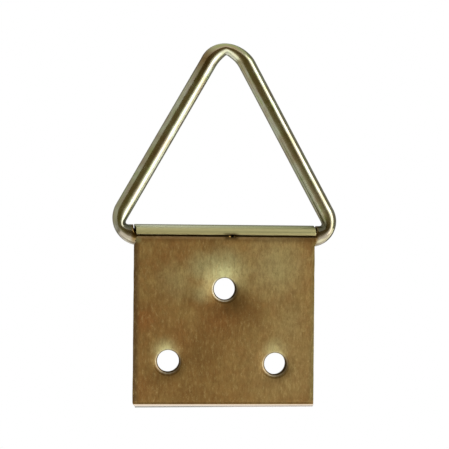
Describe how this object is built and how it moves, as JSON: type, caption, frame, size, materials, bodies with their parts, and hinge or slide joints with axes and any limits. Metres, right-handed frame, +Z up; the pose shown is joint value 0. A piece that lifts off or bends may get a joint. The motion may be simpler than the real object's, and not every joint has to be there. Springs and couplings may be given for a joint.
{
  "type": "hinged picture hanger",
  "caption": "Picture hanger: a folded sheet-metal plate with screw holes and a triangular wire ring that swings in its curled top edge.",
  "frame": {"origin": "middle of the plate's flat back face, between its sides and half way up from the bottom fold to the top of the curl", "axes": "+Z up along the plate towards the ring, +Y out of the back face towards the picture frame, +X along the hinge to the viewer's right as seen from the front"},
  "size_m": [0.0376, 0.0043, 0.0611],
  "materials": {
    "plated_sheet": "dull yellow plating with brown and olive mottling, brighter over the bends",
    "plated_wire": "glossy yellow plating"
  },
  "bodies": {
    "plate": {"folded_plate": "plated_sheet"},
    "ring": {"triangle_ring": "plated_wire"}
  },
  "joints": [
    {"name": "ring_hinge", "type": "hinge", "parent": "plate", "child": "ring", "pos_m": [0, -0.00213, 0.01312], "axis": [1, 0, 0], "range_deg": [-147, 153]}
  ]
}
